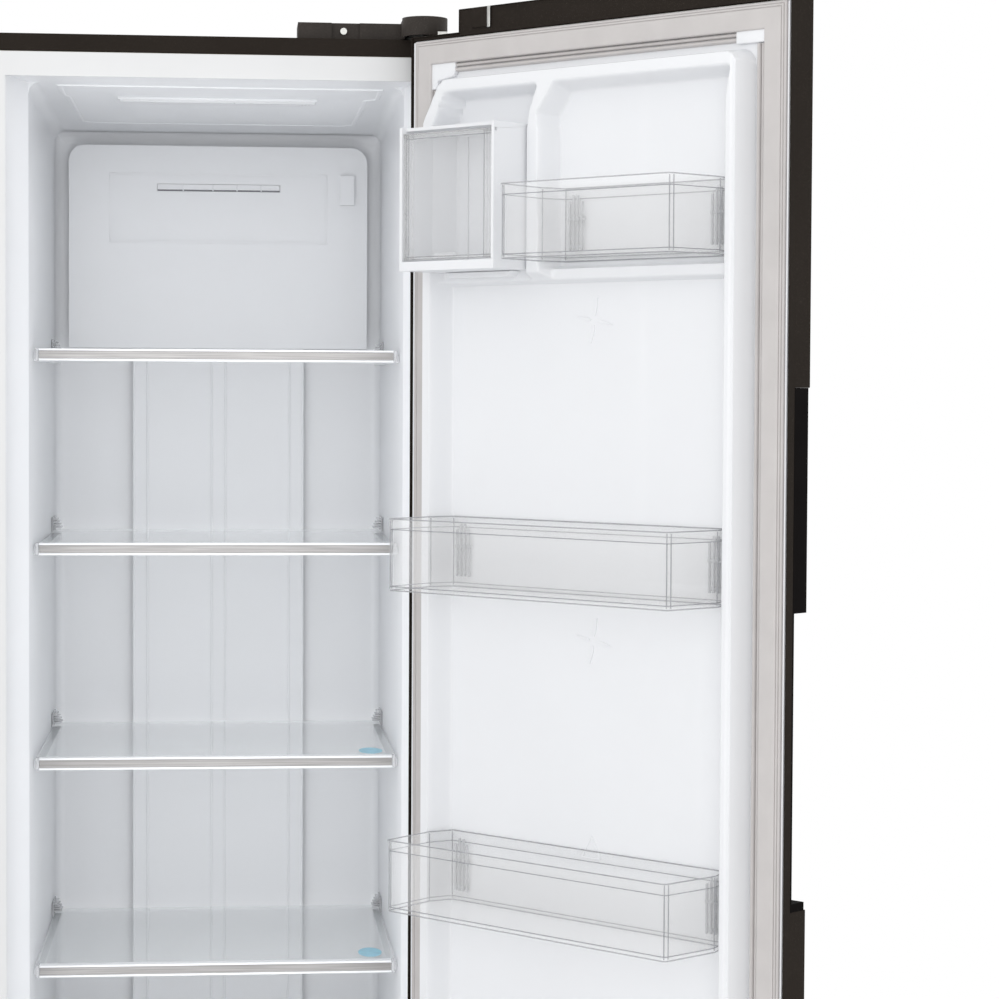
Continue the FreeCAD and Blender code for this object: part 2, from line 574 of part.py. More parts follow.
# Hinges on the cabinet top and under the doors
for side, m in (("right", 1), ("left", -1)):
    def X(v):
        return "(%s)" % v if m > 0 else "-(%s)" % v

    def xr(a, c):
        return (X(a), X(c)) if m > 0 else (X(c), X(a))
    ax = X("half_w-axis_in")
    b = body("top_hinge_" + side)
    s = sketch(b, "XY_Plane", "cab_top")
    pts = [("half_w-140", "14"), ("half_w-50", "14"), ("half_w-32", "-20"), ("half_w-26", "-41"), ("half_w-4", "-41"),
           ("half_w-2", "-20"), ("half_w-4", "56"), ("half_w-140", "56")]
    pts = [(X(a), c) for a, c in pts]
    poly(s, pts if m > 0 else pts[::-1])
    pad(b, s, "4")
    s = sketch(b, "XY_Plane", "cab_top-22")
    circle(s, ax, "axis_y", "pin_rad")
    pad(b, s, "26")
    s = sketch(b, "XY_Plane", "cab_top-1")
    for hx in ("half_w-128", "half_w-78", "half_w-28"):
        circle(s, X(hx), "38", "3.2")
    pocket(b, s, "10", rev=True)
    keep("top_hinge_" + side, b)

    a0, a1 = xr("293", "432")
    r0, r1 = xr("405", "453")
    i0, i1 = xr("296", "430")
    j0, j1 = xr("408", "450.5")
    n0, n1 = xr("329.6", "360")
    bay = box(n0, n1, "6", "12", "cab_top-1", "1774")
    outer = fuse([box(a0, a1, "9", "62", "cab_top", "1773"), box(r0, r1, "-20", "62", "cab_top", "1774"),
                  cyl(X("429"), "-20", "cab_top", "24.5", "20", "Z")])
    inner = fuse([box(i0, i1, "12", "60", "cab_top-1", "1771"), box(j0, j1, "-20", "60", "cab_top-1", "1772"),
                  cyl(X("429"), "-20", "cab_top-1", "22.2", "18", "Z")])
    k0, k1 = xr("331.5", "358")
    back = box(xr("327.6", "362")[0], xr("327.6", "362")[1], "12", "15", "cab_top", "1773")
    hole = cyl(X("342.6"), "5", "1764", "2.2", "14", "Y")
    keep("hinge_cover_" + side, cut(fuse([cut(cut(outer, inner), bay), back]), [hole, b]))

    b = body("bottom_hinge_" + side)
    s = sketch(b, "XY_Plane", "cab_bot+6")
    pts = [("half_w-60", "-0.1"), ("half_w-32", "-20"), ("half_w-24", "-41"), ("half_w-4", "-41"), ("half_w-3", "-10"), ("half_w-3", "-0.1")]
    pts = [(X(a), c) for a, c in pts]
    poly(s, pts if m > 0 else pts[::-1])
    pad(b, s, "5")
    s = sketch(b, "XY_Plane", "cab_bot+11")
    circle(s, ax, "axis_y", "pin_rad")
    pad(b, s, "22")
    x0, x1 = xr("half_w-60", "half_w-3")
    slab(b, "XZ_Plane", R4(x0, x1, "cab_bot+1", "cab_bot+12.5"), "-3", "-0.1")
    keep("bottom_hinge_" + side, b)

# Screws: six on the hinge plates and one on each hinge cover
scr = []
for m in (1, -1):
    for hx in (128, 78, 28):
        x = m * (456 - hx)
        scr.append(fuse([cyl(str(x), "38", "cab_top-12", "3.1", "16.2", "Z"), cyl(str(x), "38", "cab_top+4", "6", "3.5", "Z")]))
    x = m * 342.6
    scr.append(fuse([cyl(str(x), "9.2", "1764", "3.6", "2.7", "Y"), cyl(str(x), "11.5", "1764", "2.1", "9", "Y")]))
keep("hinge_screws", group(scr))

# =====================================================================
# DOORS, drawn closed and then turned open about the hinge pins
# =====================================================================
TURN = {}
for side, m in (("right", 1), ("left", -1)):
    TURN[side] = App.Placement(V3(0, 0, 0), App.Rotation(V3(0, 0, 1), m * VAL["open_deg"]),
                               V3(m * (VAL["half_w"] - VAL["axis_in"]), VAL["axis_y"], 0))


def door(side, name, w):
    m = 1 if side == "right" else -1
    P = TURN[side]

    def X(u):
        # u runs from the hinge edge to the free edge.
        return "(half_w-(%s))" % u if m > 0 else "(-half_w+(%s))" % u

    def xr(a, c):
        return (X(c), X(a)) if m > 0 else (X(a), X(c))

    # Outer skin with its top and bottom caps
    def prof(g):
        pts = [(X(g), "door_bot+%s" % g), (X("%s-%s" % (w, g)), "door_bot+%s" % g), (X("%s-%s" % (w, g)), "door_top-%s" % g),
               (X("notch_u+%s" % g), "door_top-%s" % g), (X("notch_u+%s" % g), "notch_z-%s" % g), (X(g), "notch_z-%s" % g)]
        return pts
    b = body(name + "_skin")
    slab(b, "XZ_Plane", prof("0"), "door_front", "door_back")
    slab(b, "XZ_Plane", prof("skin_t"), "door_front+skin_t", "door_back+1", cutting=True)
    g0, g1 = xr("%s-grip_w" % w, "%s+1" % w)
    slab(b, "XZ_Plane", R4(g0, g1, "grip_bot", "grip_top"), "door_front-1", "grip_y", cutting=True)
    s = sketch(b, "XY_Plane", "door_bot-1")
    circle(s, X("axis_in"), "axis_y", "pin_rad+run_gap")
    pocket(b, s, "4", rev=True)
    s = sketch(b, "XY_Plane", "notch_z-2")
    circle(s, X("axis_in"), "axis_y", "pin_rad+run_gap")
    pocket(b, s, "4", rev=True)
    keep(name + "_skin", b, P)

    # Foam core: the main slab and the three blocks round the grip pocket, face to face
    n0, n1 = xr("-2", "notch_u+skin_t")
    in0, in1 = xr("skin_t", "%s-grip_w-16.4" % w)
    gg0, gg1 = xr("%s-grip_w-16.4" % w, "%s-skin_t" % w)
    main = cut(box(in0, in1, "door_front+skin_t", "bed_y-1.8", "door_bot+skin_t", "door_top-skin_t"),
               [box(n0, n1, "door_front-1", "0", "notch_z-skin_t", "door_top+1"),
                cyl(X("axis_in"), "axis_y", "door_bot-1", "pin_rad+run_gap", "22", "Z"),
                cyl(X("axis_in"), "axis_y", "cab_top-24", "pin_rad+run_gap", "30", "Z")])
    keep(name + "_foam", group([main,
                                box(gg0, gg1, "door_front+skin_t", "bed_y-1.8", "grip_top", "door_top-skin_t"),
                                box(gg0, gg1, "door_front+skin_t", "bed_y-1.8", "door_bot+skin_t", "grip_bot"),
                                box(gg0, gg1, "grip_y", "bed_y-1.8", "grip_bot", "grip_top")]), P)

    # Grip: a moulded insert with a flush block above and an undercut finger recess below
    h0, h1 = xr("%s-grip_w+0.1" % w, w)
    k0, k1 = xr("%s-grip_w-16.2" % w, "%s-grip_w+0.2" % w)
    q0, q1 = xr("%s-grip_w-14.4" % w, "%s+1" % w)
    mo0, mo1 = xr("%s-grip_w+1.7" % w, "%s+1" % w)
    ins = fuse([box(h0, h1, "-36.2", "grip_y-0.1", "grip_bot+0.1", "grip_top-0.1"),
                box(k0, k1, "door_front+2", "grip_y-0.1", "grip_bot+0.1", "grip_mid")])
    keep(name + "_grip", cut(ins, [box(q0, q1, "-34.6", "grip_y-2", "grip_bot+8", "grip_mid-2"),
                                   box(mo0, mo1, "-41", "-30", "grip_bot+8", "grip_mid-2")]), P)

    # Inner liner: gasket bed, a raised dike all round with sloping walls, flat panel between
    bed = box(*xr("3", "%s-3" % w), "bed_y-1.8", "bed_y", "door_bot+3", "seal_top+1.5")
    b0, b1 = xr("dike_h0-3.5", "%s-dike_f0+4" % w)
    t0, t1 = xr("dike_h0", "%s-dike_f0" % w)
    field = wedge(b0, b1, t0, t1, "dike_bot-3", "dike_top+3", "dike_bot", "dike_top", "bed_y-0.5", "dike_y")
    c0, c1 = xr("dike_h1+10.3", "%s-dike_f1-6" % w)
    d0, d1 = xr("dike_h1-0.35", "%s-dike_f1+0.2" % w)
    pit = wedge(c0, c1, d0, d1, "dike_bot+18", "dike_top-18", "dike_bot+11.8", "dike_top-11.8", "panel_y", "dike_y+1")
    items = [bed, cut(field, pit)]
    if side == "right":
        items.append(wedge("245.5", "269.2", "247.5", "268", "1490", "1690", "1496", "1690", "panel_y-0.5", "16"))
        items.append(box("14", "250", "panel_y-0.5", "4", "1488", "1498"))
    keep(name + "_liner", fuse(items), P)

    # Magnetic gasket ring
    b = body(name + "_gasket")
    s = sketch(b, "XZ_Plane", "-bed_y")
    o0, o1 = xr("seal_in", "%s-5.7" % w)
    i0, i1 = xr("seal_in+seal_w", "%s-5.7-seal_w" % w)
    rect(s, o0, o1, "seal_bot", "seal_top")
    rect(s, i0, i1, "seal_bot+seal_w", "seal_top-seal_w")
    pad(b, s, "seal_y-bed_y", rev=True)
    keep(name + "_gasket", b, P)
    return X, xr, P


def bin_body(label, x0, x1, taper, z0, height, reach):
    # Tapered open tub; its back stands on the door panel and its sides follow the dikes' slope.
    b = body(label)
    slab(b, "XY_Plane", [("%s+9" % x0, "panel_y+0.4"), ("%s-9" % x1, "panel_y+0.4"), (x1, "dike_y"), ("%s-%s" % (x1, taper), reach),
                         ("%s+%s" % (x0, taper), reach), (x0, "dike_y")], z0, "%s+%s" % (z0, height))
    slab(b, "XY_Plane", [("%s+9+bin_wall" % x0, "panel_y+0.4+bin_wall"), ("%s-9-bin_wall" % x1, "panel_y+0.4+bin_wall"),
                         ("%s-bin_wall" % x1, "dike_y"), ("%s-%s-bin_wall" % (x1, taper), "%s-bin_wall" % reach),
                         ("%s+%s+bin_wall" % (x0, taper), "%s-bin_wall" % reach), ("%s+bin_wall" % x0, "dike_y")],
         "%s+bin_wall" % z0, "%s+%s+5" % (z0, height), cutting=True)
    return b


Xr, xr, PR = door("right", "fridge_door", "right_w")
keep("door_bin_1", bin_body("door_bin_1", "13.5", "246", "6", "1505", "bin_h", "bin_reach"), PR)
keep("door_bin_2", bin_body("door_bin_2", "13.5", "402", "6", "1164.7", "bin_h", "bin_reach"), PR)
keep("door_bin_3", bin_body("door_bin_3", "13.5", "402", "6", "828.7", "bin_h", "bin_reach"), PR)
lower = [bin_body("LowerBin_%d" % i, "13.5", "402", "10", z, "bin_h", "bin_short") for i, z in enumerate(("524", "224"))]
keep("door_bins_lower", group(lower), PR)

b = body("DairyShell")
slab(b, "XY_Plane", [("269.8", "panel_y+0.4"), ("393", "panel_y+0.4"), ("403.3", "dike_y"), ("403.3", "59"), ("269.8", "59")], "1498", "1647")
slab(b, "XY_Plane", [("273", "panel_y+2.6"), ("390", "panel_y+2.6"), ("399.8", "dike_y"), ("399.8", "64"), ("273", "64")],
     "1508", "1643.5", cutting=True)
ears = [box("269.8", "273", "58", "66", "1498", "1647"), box("399.8", "403.3", "58", "66", "1498", "1647"),
        box("269.8", "403.3", "58", "66", "1498", "1507.5")]
pinholes = [cyl("268.5", "62.5", "1638.5", "2+run_gap", "6", "X"), cyl("398.5", "62.5", "1638.5", "2+run_gap", "6", "X")]
keep("dairy_box", cut(fuse([b] + ears), pinholes), PR)
keep("dairy_cover", fuse([box("273.6", "399.2", "60.6", "64.4", "1508.6", "1640.5"),
                          cyl("270.4", "62.5", "1638.5", "1.9", "132.4", "X"),
                          box("322", "352", "64", "68", "1512", "1516")]), PR)

Xl, xl, PL = door("left", "freezer_door", "left_w")
fz = [bin_body("FreezerBin_%d" % i, "-402", "-118", "8", z, "bin_h", "bin_short")
      for i, z in enumerate(("1424", "1104", "784", "464", "164"))]
keep("freezer_door_bins", group(fz), PL)
b = body("control_panel")
slab(b, "XZ_Plane", R4("-330", "-210", "1290", "1330"), "door_front-0.8", "door_front")
keep("control_panel", b, PL)

# =====================================================================
doc.recompute()
bad = []
for o in doc.Objects:
    if "Invalid" in o.State or "Error" in o.State:
        bad.append("%s (%s) %s" % (o.Label, o.TypeId, o.State))
for label, o in PARTS.items():
    if o.Shape.isNull() or not o.Shape.isValid() or not o.Shape.Solids:
        bad.append(label + " has no valid solid")
if bad:
    print("\n".join(bad))
    raise SystemExit("model failed")

os.makedirs("parts", exist_ok=True)
for label, o in PARTS.items():
    o.Shape.exportStep("parts/%s.step" % label)
    bb = o.Shape.BoundBox
    print("%-24s solids %d vol %10.0f  x %.1f..%.1f y %.1f..%.1f z %.1f..%.1f" % (
        label, len(o.Shape.Solids), o.Shape.Volume, bb.XMin, bb.XMax, bb.YMin, bb.YMax, bb.ZMin, bb.ZMax))
print(len(PARTS), "parts")
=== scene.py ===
import json
import math

import bmesh
import bpy
import numpy as np
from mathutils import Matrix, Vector


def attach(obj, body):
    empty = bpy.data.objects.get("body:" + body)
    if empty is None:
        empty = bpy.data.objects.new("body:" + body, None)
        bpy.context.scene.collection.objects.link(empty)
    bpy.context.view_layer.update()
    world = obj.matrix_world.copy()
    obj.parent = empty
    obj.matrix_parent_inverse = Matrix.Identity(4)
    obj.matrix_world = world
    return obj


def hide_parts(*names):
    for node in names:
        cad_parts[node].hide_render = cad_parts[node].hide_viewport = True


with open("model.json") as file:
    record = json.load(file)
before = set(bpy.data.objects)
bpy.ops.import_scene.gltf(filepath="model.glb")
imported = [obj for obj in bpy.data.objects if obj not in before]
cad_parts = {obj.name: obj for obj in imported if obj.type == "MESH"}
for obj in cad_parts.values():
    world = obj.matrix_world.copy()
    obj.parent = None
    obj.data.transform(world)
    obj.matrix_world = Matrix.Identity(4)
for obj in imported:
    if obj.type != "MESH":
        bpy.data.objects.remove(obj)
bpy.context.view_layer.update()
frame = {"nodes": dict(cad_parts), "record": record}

N = frame["nodes"]
MM = 0.001
OPEN = math.radians(131.8)
HX, HY = 442.3, -31.2
RW, LW = 506.1, 399.9


# ---------------------------------------------------------------- geometry helpers (millimetres)
def place(side, pts):
    """Points drawn with the door closed are turned open about the hinge pin; metres come out."""
    p = np.array(pts, float)
    if side:
        m = 1 if side == "R" else -1
        a, hx = m * OPEN, m * HX
        dx, dy = p[:, 0] - hx, p[:, 1] - HY
        p[:, 0], p[:, 1] = hx + dx * math.cos(a) - dy * math.sin(a), HY + dx * math.sin(a) + dy * math.cos(a)
    return p * MM


def du(side, u):
    """u is the distance from the door's hinge edge."""
    return 456.0 - u if side == "R" else -456.0 + u


class Buf:
    def __init__(self):
        self.v, self.f = [], []

    def add(self, v, f):
        n = len(self.v)
        self.v += [tuple(float(c) for c in p) for p in v]
        self.f += [tuple(i + n for i in q) for q in f]
        return self

    def take(self, bm):
        bm.verts.index_update()
        self.add([v.co[:] for v in bm.verts], [[v.index for v in f.verts] for f in bm.faces])
        bm.free()
        return self

    def block(self, x0, x1, y0, y1, z0, z1, r=0.6, seg=2):
        bm = bmesh.new()
        bmesh.ops.create_cube(bm, size=1.0)
        for v in bm.verts:
            v.co = Vector(((x0 + x1) / 2 + v.co.x * (x1 - x0), (y0 + y1) / 2 + v.co.y * (y1 - y0), (z0 + z1) / 2 + v.co.z * (z1 - z0)))
        r = min(r, 0.45 * min(abs(x1 - x0), abs(y1 - y0), abs(z1 - z0)))
        if r > 0.02:
            bmesh.ops.bevel(bm, geom=bm.edges[:], offset=r, segments=seg, profile=0.5, affect="EDGES")
        return self.take(bm)

    def prism(self, pts, axis, lo, hi, r=0.5, seg=2):
        """A polygon pulled along an axis, with its edges rounded."""
        def at(a, b, c):
            return {"z": (a, b, c), "y": (a, c, b), "x": (c, a, b)}[axis]
        bm = bmesh.new()
        low = [bm.verts.new(at(a, b, lo)) for a, b in pts]
        top = [bm.verts.new(at(a, b, hi)) for a, b in pts]
        n = len(pts)
        bm.faces.new(low[::-1])
        bm.faces.new(top)
        for i in range(n):
            bm.faces.new((low[i], low[(i + 1) % n], top[(i + 1) % n], top[i]))
        bmesh.ops.recalc_face_normals(bm, faces=bm.faces[:])
        if r > 0.02:
            ed = [e for e in bm.edges if len(e.link_faces) == 2 and e.calc_face_angle(0) > 0.6]
            bmesh.ops.bevel(bm, geom=ed, offset=r, segments=seg, profile=0.5, affect="EDGES")
        return self.take(bm)

    def loft(self, loops, cap0=True, cap1=True, closed=False):
        n, v, f = len(loops[0]), [], []
        for lp in loops:
            v += list(lp)
        m = len(loops)
        for j in range(m if closed else m - 1):
            k = (j + 1) % m
            for i in range(n):
                f.append((j * n + i, j * n + (i + 1) % n, k * n + (i + 1) % n, k * n + i))
        if not closed:
            if cap0:
                f.append(tuple(range(n))[::-1])
            if cap1:
                f.append(tuple((m - 1) * n + i for i in range(n)))
        return self.add(v, f)

    def bar(self, p, q, w, h, out, rnd=4):
        """A half-round bead from p to q: w wide, h high, standing out along the unit vector out."""
        p, q, out = (np.array(a, float) for a in (p, q, out))
        d = (q - p) / np.linalg.norm(q - p)
        s = np.cross(d, out)
        prof = [(-w / 2, 0.0)] + [(-w / 2 * math.cos(math.pi * i / (2 * rnd)), h * math.sin(math.pi * i / (2 * rnd)) ** 0.6) for i in range(1, 2 * rnd)] + [(w / 2, 0.0)]
        return self.loft([[a + s * x + out * y for x, y in prof] for a in (p, q)])

    def cove(self, p, q, a, b, r, n=6):
        """A concave corner strip along p to q; a and b point along the two walls, away from the corner."""
        p, q, a, b = (np.array(t, float) for t in (p, q, a, b))
        loops = []
        for e in (p, q):
            c = e + (a + b) * r
            arc = [c - a * r * math.sin(t) - b * r * math.cos(t) for t in [math.pi / 2 * i / n for i in range(n + 1)]]
            loops.append([e - (a + b) * 0.4] + arc)
        return self.loft(loops)

    def rod(self, p, q, r, n=16):
        p, q = np.array(p, float), np.array(q, float)
        d = (q - p) / np.linalg.norm(q - p)
        s = np.cross(d, [0, 0, 1.0] if abs(d[2]) < 0.9 else [1.0, 0, 0])
        s /= np.linalg.norm(s)
        t = np.cross(d, s)
        c = min(0.5, r * 0.25)
        loops = []
        for e, rr in ((p, r - c), (p + d * c, r), (q - d * c, r), (q, r - c)):
            loops.append([e + s * rr * math.cos(2 * math.pi * i / n) + t * rr * math.sin(2 * math.pi * i / n) for i in range(n)])
        return self.loft(loops)


def edge_loop(b, pts, z, r):
    """A fine bead along a closed path at one height."""
    n = len(pts)
    p = [np.array(q, float) for q in pts]
    loops = []
    for i in range(n):
        d = p[(i + 1) % n] - p[i - 1]
        d /= np.linalg.norm(d)
        m = np.array([-d[1], d[0]]) * r
        x, y = p[i]
        loops.append([(x + m[0], y + m[1], z), (x, y, z + r), (x - m[0], y - m[1], z), (x, y, z - r)])
    b.loft(loops, closed=True)


def make(name, buf, mat, body, side=None, angle=32.0, replaces=()):
    me = bpy.data.meshes.new(name)
    me.from_pydata(place(side, buf.v).tolist(), [], buf.f)
    bm = bmesh.new()
    bm.from_mesh(me)
    bmesh.ops.recalc_face_normals(bm, faces=bm.faces[:])
    bm.to_mesh(me)
    bm.free()
    me.polygons.foreach_set("use_smooth", [True] * len(me.polygons))
    me.set_sharp_from_angle(angle=math.radians(angle))
    o = bpy.data.objects.new(name, me)
    bpy.context.scene.collection.objects.link(o)
    me.materials.append(MAT[mat])
    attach(o, body)
    if replaces:
        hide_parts(*replaces)
    return o


# ---------------------------------------------------------------- materials
def material(name, col, rough=0.4, metal=0.0, var=0.04, vscale=12.0, rvar=0.06, bump=0.0, bscale=600.0, stretch=(1, 1, 1),
             coat=0.0, trans=0.0, ior=1.45, spec=0.5, speck=None, rscale=60.0, alpha=1.0):
    m = bpy.data.materials.new(name)
    m.use_nodes = True
    nt = m.node_tree
    b = nt.nodes["Principled BSDF"]
    tc = nt.nodes.new("ShaderNodeTexCoord")
    mp = nt.nodes.new("ShaderNodeMapping")
    mp.inputs["Scale"].default_value = stretch
    nt.links.new(tc.outputs["Object"], mp.inputs["Vector"])

    def noise(scale, detail=3.0):
        n = nt.nodes.new("ShaderNodeTexNoise")
        n.inputs["Scale"].default_value = scale
        n.inputs["Detail"].default_value = detail
        nt.links.new(mp.outputs["Vector"], n.inputs["Vector"])
        return n
    n1 = noise(vscale)
    ramp = nt.nodes.new("ShaderNodeValToRGB")
    ramp.color_ramp.elements[0].position, ramp.color_ramp.elements[1].position = 0.32, 0.68
    ramp.color_ramp.elements[0].color = tuple(c * (1 - var) for c in col) + (1,)
    ramp.color_ramp.elements[1].color = tuple(min(1.0, c * (1 + var)) for c in col) + (1,)
    nt.links.new(n1.outputs["Fac"], ramp.inputs["Fac"])
    out = ramp.outputs["Color"]
    if speck:
        scol, sscale, lo, hi = speck
        n2 = noise(sscale, 2.0)
        r2 = nt.nodes.new("ShaderNodeValToRGB")
        r2.color_ramp.elements[0].position, r2.color_ramp.elements[1].position = lo, hi
        r2.color_ramp.elements[0].color, r2.color_ramp.elements[1].color = (0, 0, 0, 1), (1, 1, 1, 1)
        nt.links.new(n2.outputs["Fac"], r2.inputs["Fac"])
        mx = nt.nodes.new("ShaderNodeMix")
        mx.data_type = "RGBA"
        nt.links.new(r2.outputs["Color"], mx.inputs["Factor"])
        nt.links.new(out, mx.inputs["A"])
        mx.inputs["B"].default_value = tuple(scol) + (1,)
        out = mx.outputs["Result"]
    nt.links.new(out, b.inputs["Base Color"])
    n3 = noise(rscale, 2.0)
    mr = nt.nodes.new("ShaderNodeMapRange")
    mr.inputs["To Min"].default_value, mr.inputs["To Max"].default_value = max(0.02, rough - rvar), min(1.0, rough + rvar)
    nt.links.new(n3.outputs["Fac"], mr.inputs["Value"])
    nt.links.new(mr.outputs["Result"], b.inputs["Roughness"])
    if bump:
        n4 = noise(bscale, 3.0)
        bp = nt.nodes.new("ShaderNodeBump")
        bp.inputs["Strength"].default_value = 0.6
        bp.inputs["Distance"].default_value = bump
        nt.links.new(n4.outputs["Fac"], bp.inputs["Height"])
        nt.links.new(bp.outputs["Normal"], b.inputs["Normal"])
    b.inputs["Metallic"].default_value = metal
    b.inputs["Coat Weight"].default_value = coat
    b.inputs["Coat Roughness"].default_value = 0.12
    b.inputs["Transmission Weight"].default_value = trans
    b.inputs["IOR"].default_value = ior
    b.inputs["Specular IOR Level"].default_value = spec
    b.inputs["Alpha"].default_value = alpha
    if alpha < 1.0:
        m.surface_render_method = "BLENDED"
    return m


MAT = {
    "case_skin": material("case_skin", (0.0225, 0.0180, 0.0148), 0.74, var=0.06, vscale=9, rvar=0.08, bump=0.00018, bscale=850,
                          speck=((0.080, 0.066, 0.055), 1500, 0.64, 0.72), spec=0.06),
    "frame_white": material("frame_white", (0.735, 0.74, 0.745), 0.32, var=0.012, vscale=6, bump=0.00002, bscale=900, spec=0.35),
    "zinc_sheet": material("zinc_sheet", (0.60, 0.61, 0.62), 0.40, metal=0.9, var=0.10, vscale=55, rvar=0.10, bump=0.00005, bscale=300),
    "foam": material("foam", (0.82, 0.74, 0.54), 0.85, var=0.06, vscale=60, bump=0.0004, bscale=500),
    "liner_white": material("liner_white", (0.815, 0.825, 0.845), 0.34, var=0.010, vscale=5, rvar=0.05, bump=0.00003, bscale=700, coat=0.12),
    "gasket_grey": material("gasket_grey", (0.560, 0.537, 0.528), 0.62, var=0.03, vscale=30, rvar=0.06, bump=0.00006, bscale=1600, spec=0.3),
    "grip_black": material("grip_black", (0.0055, 0.0045, 0.0045), 0.72, var=0.15, vscale=20, bump=0.00012, bscale=1400, spec=0.04),
    "cover_plastic": material("cover_plastic", (0.036, 0.030, 0.026), 0.58, var=0.12, vscale=25, bump=0.00022, bscale=1100,
                              speck=((0.10, 0.088, 0.078), 1700, 0.62, 0.72), spec=0.2),
    "clear_bin": material("clear_bin", (0.95, 0.955, 0.965), 0.10, var=0.01, vscale=8, rvar=0.03, spec=0.45, bump=0.00001, bscale=120, alpha=0.13),
    "clear_rim": material("clear_rim", (0.74, 0.75, 0.77), 0.20, var=0.02, vscale=30, rvar=0.05, spec=0.5, bump=0.00003, bscale=400, alpha=0.42),
    "shelf_glass": material("shelf_glass", (0.84, 0.875, 0.89), 0.05, var=0.01, vscale=6, rvar=0.02, spec=0.5, alpha=0.25),
    "trim_metal": material("trim_metal", (0.33, 0.322, 0.318), 0.38, metal=0.6, var=0.16, vscale=14, rvar=0.10, bump=0.00004, bscale=90, stretch=(1, 1, 60), rscale=30),
    "lamp_lens": material("lamp_lens", (0.86, 0.87, 0.89), 0.30, var=0.02, vscale=40, trans=0.25, bump=0.00005, bscale=500),
    "black_enamel": material("black_enamel", (0.018, 0.018, 0.020), 0.26, var=0.15, vscale=18, coat=0.4, bump=0.00008, bscale=300),
    "coil_metal": material("coil_metal", (0.66, 0.67, 0.69), 0.36, metal=0.95, var=0.10, vscale=70, rvar=0.1, bump=0.00006, bscale=500),
    "dark_plastic": material("dark_plastic", (0.030, 0.030, 0.032), 0.5, var=0.15, vscale=30, bump=0.00012, bscale=900),
    "zinc_plate": material("zinc_plate", (0.50, 0.50, 0.48), 0.34, metal=0.95, var=0.12, vscale=80, rvar=0.1, bump=0.00006, bscale=500),
    "roller_plastic": material("roller_plastic", (0.055, 0.055, 0.056), 0.45, var=0.15, vscale=50, bump=0.0001, bscale=900),
    "panel_glass": material("panel_glass", (0.010, 0.010, 0.012), 0.08, var=0.2, vscale=15, rvar=0.02, coat=0.5),
    "drawer_clear": material("drawer_clear", (0.82, 0.86, 0.90), 0.14, var=0.02, vscale=12, rvar=0.04, spec=0.5, bump=0.00002, bscale=200, alpha=0.34),
    "clear_edge": material("clear_edge", (0.40, 0.41, 0.43), 0.20, var=0.03, vscale=30, rvar=0.05, spec=0.5, bump=0.00003, bscale=400, alpha=0.55),
    "sticker": material("sticker", (0.28, 0.58, 0.72), 0.35, var=0.10, vscale=150, rvar=0.05, bump=0.00002, bscale=800),
    # slot_dark is painted shade: a flat dark grey standing in for the shadow inside the duct slot
    "slot_dark": material("slot_dark", (0.24, 0.24, 0.26), 0.6, var=0.08, vscale=60),
}
for extra in ("clear_rim", "clear_edge", "drawer_clear"):
    MAT[extra]["of"] = "clear_bin"

slot_of = {s["node"]: s["material_slot"] for s in frame["record"]["subparts"]}
for name, o in N.items():
    want = MAT[slot_of[name]]
    if "drawer" in name:
        want = MAT["drawer_clear"]
    for i in range(max(1, len(o.material_slots))):
        if i < len(o.material_slots):
            o.material_slots[i].material = want
        else:
            o.data.materials.append(want)


def soften(node, width=1.0, seg=2, angle=35.0):
    """Rounds a carried-over piece's edges with modifiers; its own mesh stays as packed."""
    o = N[node]
    w = o.modifiers.new("weld", "WELD")
    w.merge_threshold = 0.00002
    b = o.modifiers.new("round", "BEVEL")
    b.width, b.segments, b.limit_method, b.angle_limit = width * MM, seg, "ANGLE", math.radians(angle)
    b.use_clamp_overlap = True
    b.harden_normals = True


for node, wd in (("outer_case", 1.2), ("front_frame", 0.5), ("fridge_door_skin", 1.6), ("freezer_door_skin", 1.6),
                 ("fridge_door_grip", 0.8), ("freezer_door_grip", 0.8), ("hinge_cover_right", 1.2), ("hinge_cover_left", 1.2),
                 ("kick_grille", 0.8), ("dairy_box", 0.9), ("crisper_drawer_upper", 1.0), ("crisper_drawer_lower", 1.0),
                 ("freezer_drawer_upper", 1.0), ("freezer_drawer_lower", 1.0), ("freezer_duct_cover", 0.8), ("machine_cover", 0.6),
                 ("control_panel", 0.3), ("drip_tray", 0.8), ("base_pan", 0.4), ("fridge_duct_cover", 0.5),
                 ("bottom_hinge_right", 0.4), ("bottom_hinge_left", 0.4), ("top_hinge_right", 0.4), ("top_hinge_left", 0.4)):
    soften(node, wd)


# ---------------------------------------------------------------- door liners: one moulded sheet each
def sd_poly(px, pz, poly):
    d, s = np.full(px.shape, 1e12), np.ones(px.shape)
    for i in range(len(poly)):
        ax, az = poly[i]
        bx, bz = poly[i - 1]
        ex, ez, wx, wz = bx - ax, bz - az, px - ax, pz - az
        t = np.clip((wx * ex + wz * ez) / (ex * ex + ez * ez), 0, 1)
        d = np.minimum(d, (wx - ex * t) ** 2 + (wz - ez * t) ** 2)
        c1, c2, c3 = pz >= az, pz < bz, ex * wz > ez * wx
        s = np.where((c1 & c2 & c3) | (~c1 & ~c2 & ~c3), -s, s)
    return s * np.sqrt(d)


def inset(poly, r):
    """The polygon moved in by r on every side."""
    p = np.array(poly, float)
    area = sum(p[i - 1][0] * p[i][1] - p[i][0] * p[i - 1][1] for i in range(len(p)))
    sgn = 1 if area > 0 else -1
    out = []
    for i in range(len(p)):
        a, b, c = p[i - 1], p[i], p[(i + 1) % len(p)]
        n1 = np.array([-(b - a)[1], (b - a)[0]]) / np.linalg.norm(b - a) * sgn
        n2 = np.array([-(c - b)[1], (c - b)[0]]) / np.linalg.norm(c - b) * sgn
        k = (n1 + n2) / (1 + n1 @ n2)
        out.append(tuple(b + k * r))
    return out


def round_sd(px, pz, poly, r):
    return sd_poly(px, pz, inset(poly, r)) - r


def step(t):
    t = np.clip(t, 0, 1)
    return t * t * (3 - 2 * t)


